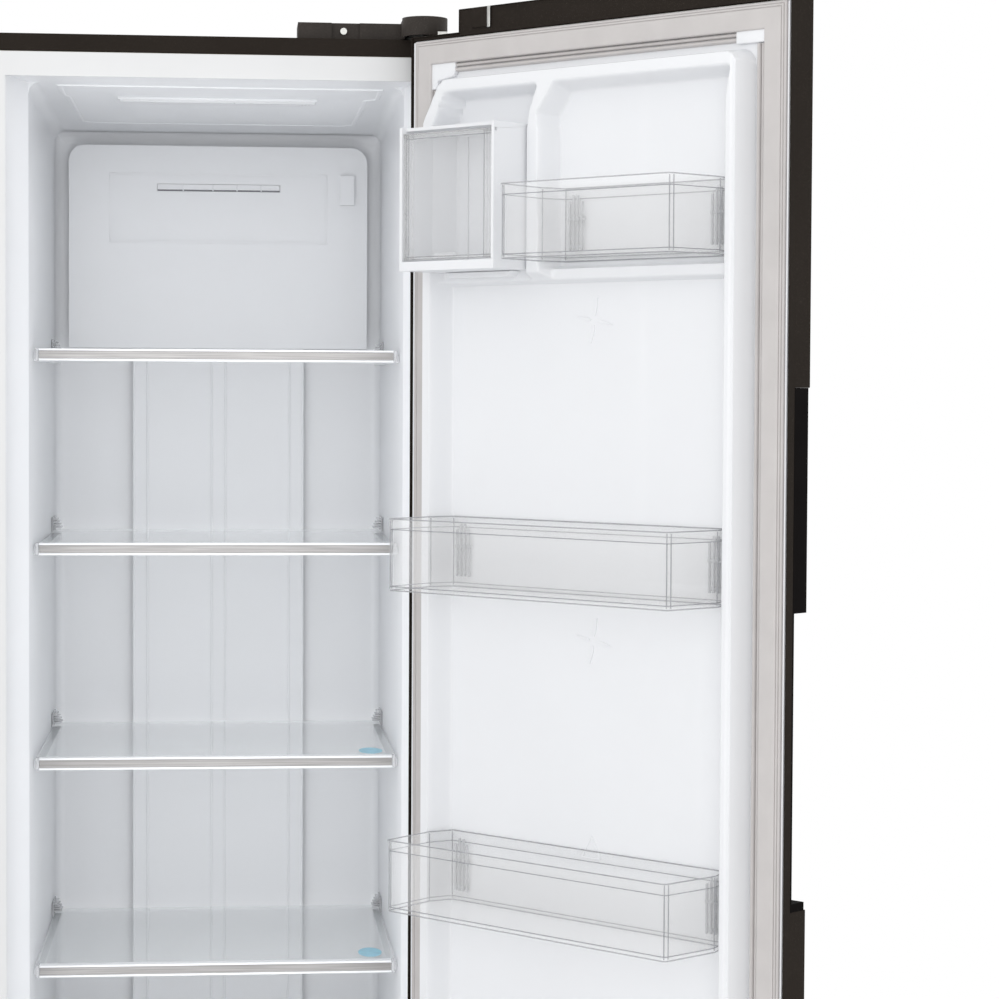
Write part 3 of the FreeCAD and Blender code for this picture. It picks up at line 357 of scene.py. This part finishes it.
def lines(stops):
    """Grid lines from (position, spacing) stops: the spacing holds up to the next stop."""
    out = []
    for (a, s), (b, _) in zip(stops, stops[1:]):
        n = max(1, int(round((b - a) / s)))
        out += [a + (b - a) * i / n for i in range(n)]
    return np.array(out + [stops[-1][0]])


def door_liner(name, side, w, body, node):
    BED, TOP = -9.2, 20.0
    us = lines([(3, 3.0), (36, 1.0), (64, 4.5), (186, 1.3), (226, 4.5), (w - 68, 1.0), (w - 42, 3.0), (w - 3, 3)] if side == "R"
               else [(3, 3.0), (36, 1.0), (64, 5.0), (w - 68, 1.0), (w - 42, 3.0), (w - 3, 3)])
    zs = lines([(57, 3.0), (94, 1.2), (124, 9.0), (1160, 3.0), (1200, 9.0), (1466, 1.2), (1510, 5.0), (1640, 1.6), (1706, 3.0), (1747.7, 3)])
    U, Z = np.meshgrid(us, zs)
    outer = [(41.5, 100), (w - 49, 100), (w - 49, 1700), (66.5, 1700), (41.5, 1656)]
    H = BED + (TOP - BED) * step(1 - round_sd(U, Z, outer, 12) / 3.6)
    pits = [[(51.7, 112), (w - 60, 112), (w - 60, 1496 if side == "R" else 1656), (w - 55, 1688), (73, 1688), (51.7, 1650)]]
    if side == "R":
        pits = [[(51.7, 112), (w - 60, 112), (w - 60, 1496), (51.7, 1496)],
                [(51.7, 1474), (51.7, 1650), (73, 1688), (205, 1688), (192.8, 1659), (190, 1640), (190, 1474)],
                [(205, 1474), (203, 1640), (201, 1658), (224, 1688), (w - 54, 1688), (w - 60, 1656), (w - 60, 1474)]]
    depth = np.zeros_like(H)
    for p in pits:
        depth = np.maximum(depth, step(-round_sd(U, Z, p, 4.5) / 8.8))
    # a shallow moulded step on the free side's rim and down the panel
    rim = -0.9 * step((U - (w - 54.5)) / 1.6)
    x_step = np.where(Z > 1180, w - 189 if side == "R" else w * 0.5, w - 113 if side == "R" else w * 0.62)
    relief = 0.9 * (1 - step((U - x_step) / 9.0)) * step((U - 66) / 8.0) * step((Z - 132) / 10.0)
    ledge = 13.0 * step((Z - 1484) / 4.0) * (1 - step((Z - 1498) / 4.0)) * step((U - 52) / 6) * step((w - 60 - U) / 6) if side == "R" else 0.0
    H = H + np.where(H > TOP - 0.5, rim, 0) * (1 - depth)
    floor = BED + relief + ledge
    H = H * (1 - depth) + np.minimum(H, floor) * depth
    X = du(side, U)
    nz, nu = U.shape
    front = np.stack([X, H, Z], -1).reshape(-1, 3)
    back = np.stack([X, np.full_like(H, -11.0), Z], -1).reshape(-1, 3)
    v = np.vstack([front, back])
    k = nz * nu
    f = []
    for i in range(nz - 1):
        for j in range(nu - 1):
            a = i * nu + j
            f.append((a, a + 1, a + nu + 1, a + nu))
    rimi = [j for j in range(nu)] + [i * nu + nu - 1 for i in range(1, nz)] + [(nz - 1) * nu + j for j in range(nu - 2, -1, -1)] + [i * nu for i in range(nz - 2, 0, -1)]
    m = len(rimi)
    v = np.vstack([front, back[rimi]])
    for i in range(m):
        f.append((rimi[i], rimi[(i + 1) % m], k + (i + 1) % m, k + i))
    f.append(tuple(k + i for i in range(m)))
    b = Buf().add(v, f)
    return make(name, b, "liner_white", body, side, 50, replaces=(node,))


door_liner("Fridge_door_inner_moulding", "R", RW, "fridge_door", "fridge_door_liner")
door_liner("Freezer_door_inner_moulding", "L", LW, "freezer_door", "freezer_door_liner")


def marks():
    """Plain raised marks on the fridge door panel: two four-bladed stars and an outlined triangle."""
    b = Buf()
    base = -8.6
    for cx, cz in ((197.5, 1445.5), (196.0, 1119.5)):
        for k in range(4):
            a = math.radians(90 * k + 6)
            pts = []
            for t, wd in ((5, 0.7), (9, 1.7), (14, 1.3), (24, 0.25)):
                bend = 0.0035 * t * t
                pts.append((t, bend - wd))
            pts += [(t, 0.0035 * t * t + wd) for t, wd in ((24, 0.25), (14, 1.3), (9, 1.7), (5, 0.7))]
            pts = [(cx + p * math.cos(a) - q * math.sin(a), cz + p * math.sin(a) + q * math.cos(a)) for p, q in pts]
            b.prism(pts, "y", base, base + 1.3, r=0.2, seg=1)
    tri = [(197.2, 919.0), (184.5, 897.0), (209.5, 897.0)]
    for i in range(3):
        (x0, z0), (x1, z1) = tri[i], tri[(i + 1) % 3]
        L = math.hypot(x1 - x0, z1 - z0)
        nx, nz = -(z1 - z0) / L * 0.8, (x1 - x0) / L * 0.8
        b.prism([(x0 + nx, z0 + nz), (x1 + nx, z1 + nz), (x1 - nx, z1 - nz), (x0 - nx, z0 - nz)], "y", base, base + 1.1, r=0.2, seg=1)
    make("Fridge_door_raised_marks", b, "liner_white", "fridge_door", "R")


marks()


# ---------------------------------------------------------------- gaskets: mitred band, beads and inner lips
def gasket(name, side, w, body, node):
    x0, x1 = du(side, 7.2), du(side, w - 5.7)
    z0, z1 = 60.0, 1746.2
    prof = [(0, -9.1), (0, -3.6), (0.7, -2.9), (1.9, -2.9), (2.2, -3.7), (2.8, -3.7), (3.1, -2.3), (4.6, -2.2), (4.9, -3.1), (5.5, -3.1),
            (5.8, -1.9), (7.2, -1.4), (9.0, -1.2), (24.2, -1.2), (25.0, -1.7), (25.4, -2.6), (25.4, -9.1)]
    s = 1 if x1 > x0 else -1
    loops = []
    for d, y in prof:
        loops.append([(x0 + s * d, y, z0 + d), (x1 - s * d, y, z0 + d), (x1 - s * d, y, z1 - d), (x0 + s * d, y, z1 - d)])
    b = Buf().loft(loops, closed=True)
    make(name, b, "gasket_grey", body, side, 25, replaces=(node,))
    # soft inner lips beside the band
    lips = Buf()
    out = (0, 1, 0)
    def X(u):
        return du(side, u)
    top_a, top_b = (X(66), X(w - 27)) if side == "R" else (X(60), X(w - 60))
    lips.bar((top_a, -9.2, 1718.2), (top_b, -9.2, 1718.2), 4.0, 4.6, out)
    lips.bar((top_a, -9.2, 1713.2), (top_b, -9.2, 1713.2), 4.4, 5.4, out)
    lips.bar((X(w - 34.8), -9.2, 98), (X(w - 34.8), -9.2, 1708), 4.4, 4.4, out)
    lips.bar((X(w - 39.8), -9.2, 98), (X(w - 39.8), -9.2, 1708), 4.4, 5.2, out)
    lips.bar((X(35.2), -9.2, 98), (X(35.2), -9.2, 1693), 4.0, 5.0, out)
    make(name + "_lips", lips, "gasket_grey", body, side, 40)
    # white corner pads over the ends of the lips
    pads = Buf()
    a, c = sorted((X(31.5), X(66)))
    pads.prism([(a, 1713), (a + (0 if side == "L" else 0), 1713), (a, 1721.2), (c, 1721.2), (c, 1694), (c - 6, 1694), (c - 8, 1700), (a + 6, 1705)]
               if side == "R" else [(a, 1694), (a + 6, 1694), (a + 8, 1700), (c - 6, 1705), (c, 1713), (c, 1721.2), (a, 1721.2)], "y", -9.3, -3.2, r=1.0, seg=3) if side == "L" else \
        pads.prism([(a, 1711), (a, 1721.2), (c, 1721.2), (c, 1694), (c - 7, 1694), (c - 9, 1703), (a + 3, 1706)], "y", -9.3, -3.2, r=1.0, seg=3)
    a, c = sorted((X(w - 66), X(w - 31.5)))
    if side == "R":
        pads.prism([(a, 1709), (a + 8, 1709), (a + 8, 1709), (c - 0, 1709), (c, 1721.2), (a, 1721.2)][:2] + [(c, 1709), (c, 1721.2), (a, 1721.2)], "y", -9.3, -3.2, r=1.0, seg=3)
    else:
        pads.prism([(a, 1709), (c, 1709), (c, 1721.2), (a, 1721.2)], "y", -9.3, -3.2, r=1.0, seg=3)
    make(name + "_corner_pads", pads, "liner_white", body, side, 40)


gasket("Fridge_door_gasket_seal", "R", RW, "fridge_door", "fridge_door_gasket")
gasket("Freezer_door_gasket_seal", "L", LW, "freezer_door", "freezer_door_gasket")


# ---------------------------------------------------------------- clear door bins
def rounded(pts, r, n=4):
    """A closed path with its corners rounded; the r list gives each corner's radius."""
    out = []
    for i, p in enumerate(pts):
        a, b, c = np.array(pts[i - 1], float), np.array(p, float), np.array(pts[(i + 1) % len(pts)], float)
        rr = r[i]
        if rr <= 0:
            out += [tuple(b)] * 1
            continue
        d1, d2 = (a - b) / np.linalg.norm(a - b), (c - b) / np.linalg.norm(c - b)
        for k in range(n + 1):
            t = k / n
            p0, p2 = b + d1 * rr, b + d2 * rr
            out.append(tuple((1 - t) ** 2 * p0 + 2 * (1 - t) * t * b + t * t * p2))
    return out


def clear_bin(b, rim, edge, x0, x1, taper, z0, h, reach):
    """Walls 2.2 mm thick, a proud base edge, and a front band that leans out at the top."""
    def ring(off, lean=0.0):
        pts = [(x0 + 9 - off, -8.2 - min(off, 0.0)), (x1 - 9 + off, -8.2 - min(off, 0.0)), (x1 + off, 20.0), (x1 - taper + off, reach + off + lean),
               (x0 + taper - off, reach + off + lean), (x0 - off, 20.0)]
        return rounded(pts, [0, 0, 0, 5, 5, 0])
    t = 2.2
    zz = [(z0, -1.4, 0), (z0 + 0.8, -0.4, 0), (z0 + 4.4, -0.4, 0), (z0 + 5.2, -1.6, 0), (z0 + h - 12, -1.6, 0), (z0 + h - 11.2, -0.8, 0.6),
          (z0 + h - 0.6, -0.4, 1.6), (z0 + h, -0.8, 1.4)]
    loops = [[(x, y, z) for x, y in ring(o, l)] for z, o, l in zz]
    inner = [(z0 + h, -t + 0.3, 1.4), (z0 + h - 11.2, -t - 0.8, 0.6), (z0 + h - 12.4, -t - 1.6, 0), (z0 + 5.5, -t - 1.6, 0), (z0 + 2.6, -t - 3.2, 0)]
    loops += [[(x, y, z) for x, y in ring(o, l)] for z, o, l in inner]
    b.loft(loops)
    for off, lean, z, r in ((-1.0, 1.4, h - 0.7, 0.65), (-1.7, 0.5, h - 11.6, 0.5), (-1.6, 0.0, 5.0, 0.55), (-1.2, 0.0, 1.0, 0.7)):
        edge_loop(edge, ring(off, lean), z0 + z, r)
    for x, y in ((x0 + taper + 3.2, reach - 1.8), (x1 - taper - 3.2, reach - 1.8), (x0 + taper + 1.4, reach - 6), (x1 - taper - 1.4, reach - 6),
                 (x0 + 1.8, 20.0), (x1 - 1.8, 20.0), (x0 + 10.2, -6.4), (x1 - 10.2, -6.4)):
        edge.rod((x, y, z0 + 2.5), (x, y, z0 + h - 2), 0.6, 8)
    # hook ribs near both back corners
    for cx in (x0 + 22, x1 - 26):
        for k, dx in enumerate((-8, -2.6, 2.8, 8.2)):
            top = z0 + h - (14 if k in (0, 3) else 8)
            rim.block(cx + dx - 0.9, cx + dx + 0.9, -6.0 + 0.1, -2.4, z0 + 12, top, r=0.5, seg=1)
        rim.block(cx - 11, cx + 11, -6.0, -3.6, z0 + h - 34, z0 + h - 30.5, r=0.5, seg=1)
        rim.block(cx - 9, cx + 9, -6.0, -4.0, z0 + 14, z0 + 18, r=0.5, seg=1)


def bins(name, rows, side, body, nodes):
    b, rim, edge = Buf(), Buf(), Buf()
    for x0, x1, taper, z0, h, reach in rows:
        clear_bin(b, rim, edge, x0, x1, taper, z0, h, reach)
    make(name, b, "clear_bin", body, side, 28, replaces=nodes)
    r = make(name + "_hooks", rim, "clear_rim", body, side, 28)
    make(name + "_edges", edge, "clear_edge", body, side, 40)


bins("Door_bin_top", [(13.5, 246, 6, 1505, 76, 90)], "R", "fridge_door", ("door_bin_1",))
bins("Door_bin_middle", [(13.5, 402, 6, 1164.7, 76, 90)], "R", "fridge_door", ("door_bin_2",))
bins("Door_bin_lower", [(13.5, 402, 6, 828.7, 76, 90)], "R", "fridge_door", ("door_bin_3",))
bins("Door_bins_bottom", [(13.5, 402, 10, z, 76, 62) for z in (524, 224)], "R", "fridge_door", ("door_bins_lower",))
bins("Freezer_bins", [(-402, -118, 8, z, 76, 62) for z in (1424, 1104, 784, 464, 164)], "L", "freezer_door", ("freezer_door_bins",))

# ---------------------------------------------------------------- dairy box front: clear flap with a raised border
b = Buf()
b.block(273.8, 399.0, 61.6, 63.6, 1508.8, 1640.3, r=0.5)
for x0, x1 in ((273.8, 277.6), (395.4, 399.0), (386.5, 388.0), (281.8, 283.0)):
    b.block(x0, x1, 60.9, 64.6, 1509.0, 1640.0, r=0.7, seg=3)
b.block(273.8, 399.0, 60.9, 64.6, 1635.6, 1640.3, r=0.7, seg=3)
b.block(273.8, 399.0, 60.9, 64.6, 1508.8, 1512.0, r=0.7, seg=3)
b.rod((270.6, 62.5, 1638.5), (402.6, 62.5, 1638.5), 1.9)
b.block(322, 352, 64, 67.6, 1512, 1516, r=1.0, seg=3)
make("Dairy_flap", b, "clear_bin", "dairy_cover", "R", 30, replaces=("dairy_cover",))
b = Buf()
for x in (274.6, 287.2, 394.6, 398.2):
    b.rod((x, 60.6 + 0.7, 1510), (x, 60.6 + 0.7, 1639), 0.55, 8)
for z in (1510.0, 1512.4, 1635.0, 1639.6):
    b.rod((274.6, 61.3, z), (398.2, 61.3, z), 0.55, 8)
make("Dairy_flap_edges", b, "clear_edge", "dairy_cover", "R", 40)
b = Buf()
# bracket and ribs under and inside the dairy box
b.prism([(288, 1497.6), (382, 1497.6), (376, 1491.5), (294, 1491.5)], "y", -8.9, 20, r=1.2, seg=3)
for x in (300, 318, 372):
    b.block(x, x + 2.2, -6.5, -4.6, 1510, 1641, r=0.7, seg=2)
make("Dairy_bracket", b, "liner_white", "fridge_door", "R", 35)

# ---------------------------------------------------------------- shelves: carrier, metal strip, clear ends, rear supports
SHELF = [1418.8, 1201.3, 959.9, 725.6, 520.0]
car, strip, ends, sup, stick = Buf(), Buf(), Buf(), Buf(), Buf()
for z in SHELF:
    x0, x1 = 205.7 - 202.4, 205.7 + 202.4
    y0 = 100.2
    prof = [(y0 + 1.0, z - 13.8), (y0 + 0.3, z - 13.3), (y0 + 0.2, z - 11.4), (y0 + 1.3, z - 11.0), (y0 + 1.3, z - 2.6), (y0 + 0.2, z - 2.2), (y0 + 0.3, z - 0.5),
            (y0 + 1.0, z), (y0 + 13.0, z), (y0 + 13.4, z - 0.5), (y0 + 13.4, z - 1.4), (y0 + 6.3, z - 1.45), (y0 + 6.3, z - 5.6), (y0 + 13.4, z - 5.6), (y0 + 13.4, z - 8.2),
            (y0 + 8.0, z - 9.0), (y0 + 7.0, z - 13.8)]
    car.loft([[(x, y, zz) for y, zz in prof] for x in (x0 + 4.4, x1 - 4.4)])
    strip.block(x0 + 4.6, x1 - 4.6, y0 + 0.6, y0 + 1.8, z - 11.0, z - 2.6, r=0.25, seg=1)
    for a, c in ((x0, x0 + 4.0), (x1 - 4.0, x1)):
        ends.block(a, c, y0 + 0.1, y0 + 13.4, z - 13.8, z, r=1.0, seg=3)
    for s, xc in ((1, 408.2), (-1, 3.2)):
        for k in range(4):
            a, c = sorted((xc, xc - s * (10.5 - 1.6 * k)))
            sup.block(a, c, 418 - 3 * k, 446, z + 1.0 + 3.4 * k, z + 2.9 + 3.4 * k, r=0.7, seg=2)
        a, c = sorted((xc + s * 0.5, xc - s * 1.6))
        sup.block(a, c, 400, 447, z - 2.0, z + 15.5, r=0.6, seg=2)
for z in SHELF[2:4]:
    ring = [(382 + 13.5 * math.cos(t), 156 + 26 * math.sin(t)) for t in [2 * math.pi * i / 36 for i in range(36)]]
    stick.prism(ring, "z", z - 1.45, z - 1.25, r=0.0)
make("Shelf_carriers", car, "liner_white", "cabinet", replaces=("shelf_trims",))
make("Shelf_strips", strip, "trim_metal", "cabinet")
make("Shelf_ends", ends, "clear_rim", "cabinet")
make("Shelf_side_supports", sup, "clear_rim", "cabinet")
make("Shelf_stickers", stick, "sticker", "cabinet")

# ---------------------------------------------------------------- liner corners and ceiling
def room(cx, hw, hwb, back, name):
    b = Buf()
    zt = lambda y: 1708.0 - (y - 50.0) * 13.5 / (back - 50.0)
    xr = lambda y, s: cx + s * (hw - (hw - hwb) * (y - 50.0) / (back - 50.0))
    for s in (1, -1):
        xb = xr(back, s)
        b.cove((xb, back, 340), (xb, back, zt(back)), (-s, 0, 0), (0, -1, 0), 11, 7)
        b.cove((xr(50, s), 50, zt(50)), (xb, back, zt(back)), (-s, 0, 0), (0, 0, -1), 12, 7)
        b.cove((xr(50, s), 50, 93), (xr(384, s), 384, 96), (-s, 0, 0), (0, 0, 1), 10, 7)
    b.cove((xr(back, -1), back, zt(back)), (xr(back, 1), back, zt(back)), (0, -1, 0), (0, 0, -1), 14, 7)
    make(name, b, "liner_white", "cabinet", None, 40)


room(205.7, 205.3, 203.3, 485.0, "Fridge_liner_coves")
room(-257.5, 153.5, 151.5, 545.0, "Freezer_liner_coves")

b = Buf()
# moulded ceiling panel with a cut corner, following the slope of the ceiling
def ceil(y, d):
    return 1708.0 - (y - 50.0) * 13.5 / 435.0 - d
pts = [(30, 66), (389, 66), (389, 140), (376, 152), (372, 372), (360, 384), (51, 384), (39, 372), (35, 152), (30, 140)]
outer = [(x, y, ceil(y, -0.4)) for x, y in pts]
cxm, cym = 210.0, 220.0
def shrink(k, d):
    return [(cxm + (x - cxm) * k, cym + (y - cym) * k, ceil(y, d)) for x, y in pts]
b.loft([outer, shrink(1.0, 0.7), shrink(0.996, 1.3), shrink(0.975, 1.3), shrink(0.968, 0.5), shrink(0.5, 0.45)])
make("Fridge_ceiling_panel", b, "liner_white", "cabinet", None, 20)
b = Buf()
b.block(205.7 - 113, 205.7 + 113, 155.5, 176.5, 1702.2, 1705.2, r=0.8, seg=2)
for k in range(3):
    b.block(205.7 + 103 - 4 * k, 205.7 + 105 - 4 * k, 159, 173, 1699.2, 1700.4, r=0.3, seg=1)
make("Lamp_surround", b, "liner_white", "cabinet", None, 35)

# ---------------------------------------------------------------- duct cover details
b = Buf()
y = 468.0
frame_pts = rounded([(205.7 - 135.4, 1557), (205.7 + 135.4, 1557), (205.7 + 135.4, 1644), (205.7 - 135.4, 1644)], [9, 9, 9, 9], 5)
inn = rounded([(205.7 - 132.6, 1559.8), (205.7 + 132.6, 1559.8), (205.7 + 132.6, 1641.2), (205.7 - 132.6, 1641.2)], [7, 7, 7, 7], 5)
b.loft([[(x, y + 0.5, z) for x, z in frame_pts], [(x, y - 0.25, z) for x, z in frame_pts], [(x, y - 0.25, z) for x, z in inn], [(x, y + 0.5, z) for x, z in inn]], closed=True)
for x in (205.7 - 45, 205.7 - 8, 205.7 + 22, 205.7 + 52):
    b.block(x, x + 1.6, y + 0.3, y + 3.0, 1621.9, 1630.4, r=0.3, seg=1)
# soft vertical ribs down the air column behind the shelves
for xc in (205.7, 205.7 - 97, 205.7 + 97):
    b.bar((xc - 8.5, y + 4.0, 348), (xc - 8.5, y + 4.0, 1424), 3.0, 1.2, (0, -1, 0))
    b.bar((xc + 8.5, y + 4.0, 348), (xc + 8.5, y + 4.0, 1424), 3.0, 1.2, (0, -1, 0))
make("Duct_cover_relief", b, "liner_white", "cabinet", None, 35)
# a thin dark grey strip inside the air slot: painted shade for the slot's depth, not a part of its own colour
b = Buf()
b.block(205.7 - 75.8, 205.7 + 75.8, y + 0.6, y + 1.6, 1621.9, 1623.6, r=0.2, seg=1)
make("Duct_slot_painted_shade", b, "slot_dark", "cabinet")
b = Buf()
b.block(205.7 - 76.0, 205.7 + 76.0, y + 1.4, y + 3.0, 1621.9, 1630.4, r=0.2, seg=1)
make("Duct_slot_inserts", b, "liner_white", "cabinet", None, 35)

# ---------------------------------------------------------------- door edge caps
for side, w, body, nm in (("R", RW, "fridge_door", "Fridge"), ("L", LW, "freezer_door", "Freezer")):
    b = Buf()
    X = lambda u: du(side, u)
    a, c = sorted((X(90), X(112)))
    b.block(a, c, -4.6, -2.4, 1754.5, 1775.6, r=0.9, seg=3)
    a, c = sorted((X(70.6), X(w - 1.0)))
    b.block(a, c, -38.0, -5.0, 1775.0, 1775.95, r=0.4, seg=2)
    a, c = sorted((X(70.9), X(w - 0.9)))
    b.block(a, c, -11.6, -5.0, 1748.2, 1775.2, r=0.7, seg=2)
    a, c = sorted((X(1.2), X(w - 0.9)))
    b.block(a, c, -11.6, -6.0, 54.9, 56.6, r=0.4, seg=2)
    a, c = sorted((X(1.0), X(71.4)))
    b.block(a, c, -11.6, -6.5, 1747.9, 1751.4, r=0.5, seg=2)
    for u0, u1 in ((0.9, 2.7), (w - 2.7, w - 0.9)):
        a, c = sorted((X(u0), X(u1)))
        b.block(a, c, -11.6, -7.0, 56.8, 1748, r=0.4, seg=2)
    make(nm + "_door_cap_details", b, "case_skin", body, side, 35)
    b = Buf()
    for u0, u1 in ((3.3, 5.8), (w - 5.5, w - 3.3)):
        a, c = sorted((X(u0), X(u1)))
        b.block(a, c, -9.6, -5.2, 59, 1746, r=0.8, seg=3)
    make(nm + "_door_liner_lip", b, "liner_white", body, side, 35)
    b = Buf()
    a, c = sorted((X(112.2), X(116.5)))
    b.block(a, c, -4.6, -2.0, 1753.5, 1775.6, r=1.1, seg=3)
    make(nm + "_door_cap_edge", b, "zinc_plate", body, side, 35)

# ---------------------------------------------------------------- stage, camera, lights
bm = bmesh.new()
bmesh.ops.create_grid(bm, x_segments=8, y_segments=8, size=2.6)
me = bpy.data.meshes.new("Floor")
bm.to_mesh(me)
bm.free()
floor = bpy.data.objects.new("Floor", me)
bpy.context.scene.collection.objects.link(floor)
me.materials.append(material("floor_pale", (0.88, 0.88, 0.88), 0.7, var=0.01, vscale=3))
floor.location = (0.1, 0.0, -0.0005)

world = bpy.data.worlds.new("Studio")
bpy.context.scene.world = world
world.use_nodes = True
world.node_tree.nodes["Background"].inputs["Color"].default_value = (1.0, 1.0, 1.0, 1)
world.node_tree.nodes["Background"].inputs["Strength"].default_value = 1.0
bpy.context.scene.view_settings.view_transform = "Standard"


def area(name, loc, target, size, power, col=(1, 1, 1)):
    d = bpy.data.lights.new(name, "AREA")
    d.shape, d.size, d.energy, d.color = "SQUARE", size, power, col
    o = bpy.data.objects.new(name, d)
    bpy.context.scene.collection.objects.link(o)
    o.location = loc
    o.rotation_euler = (Vector(target) - Vector(loc)).to_track_quat("-Z", "Y").to_euler()


def fill(name, x0, x1, z0, z1, power):
    """Soft light at a compartment's mouth, shining inwards; from the front it isn't seen."""
    d = bpy.data.lights.new(name, "AREA")
    d.shape, d.size, d.size_y, d.energy = "RECTANGLE", (x1 - x0) * MM, (z1 - z0) * MM, power
    d.color = (0.985, 0.99, 1.0)
    o = bpy.data.objects.new(name, d)
    bpy.context.scene.collection.objects.link(o)
    o.location = ((x0 + x1) / 2 * MM, -0.012, (z0 + z1) / 2 * MM)
    o.rotation_euler = (math.radians(90), 0, 0)


area("Key", (-2.6, -2.7, 2.0), (0.4, 0.0, 1.1), 2.0, 14)
area("Front", (0.22, -3.3, 1.9), (0.3, 0.0, 1.0), 1.4, 12)
fill("Fridge_fill", 10, 400, 110, 1690, 1.12)
fill("Freezer_fill", -410, -105, 110, 1690, 0.85)

yaw, pitch, roll = (math.radians(a) for a in (5.61, 2.21, -0.294))
fwd = np.array([math.sin(yaw) * math.cos(pitch), math.cos(yaw) * math.cos(pitch), -math.sin(pitch)])
right = np.array([math.cos(yaw), -math.sin(yaw), 0.0])
down = np.cross(fwd, right)
cx_ = math.cos(roll) * right + math.sin(roll) * down
cy_ = -math.sin(roll) * right + math.cos(roll) * down
from mathutils import Matrix
cam_d = bpy.data.cameras.new("Camera")
cam = bpy.data.objects.new("Camera", cam_d)
bpy.context.scene.collection.objects.link(cam)
M = Matrix.Identity(4)
for i in range(3):
    M[i][0], M[i][1], M[i][2] = cx_[i], -cy_[i], -fwd[i]
M[0][3], M[1][3], M[2][3] = 0.220, -3.000, 1.371
cam.matrix_world = M
cam_d.sensor_width = 36.0
cam_d.lens = 99.0
cam_d.clip_start, cam_d.clip_end = 0.05, 50
bpy.context.scene.camera = cam
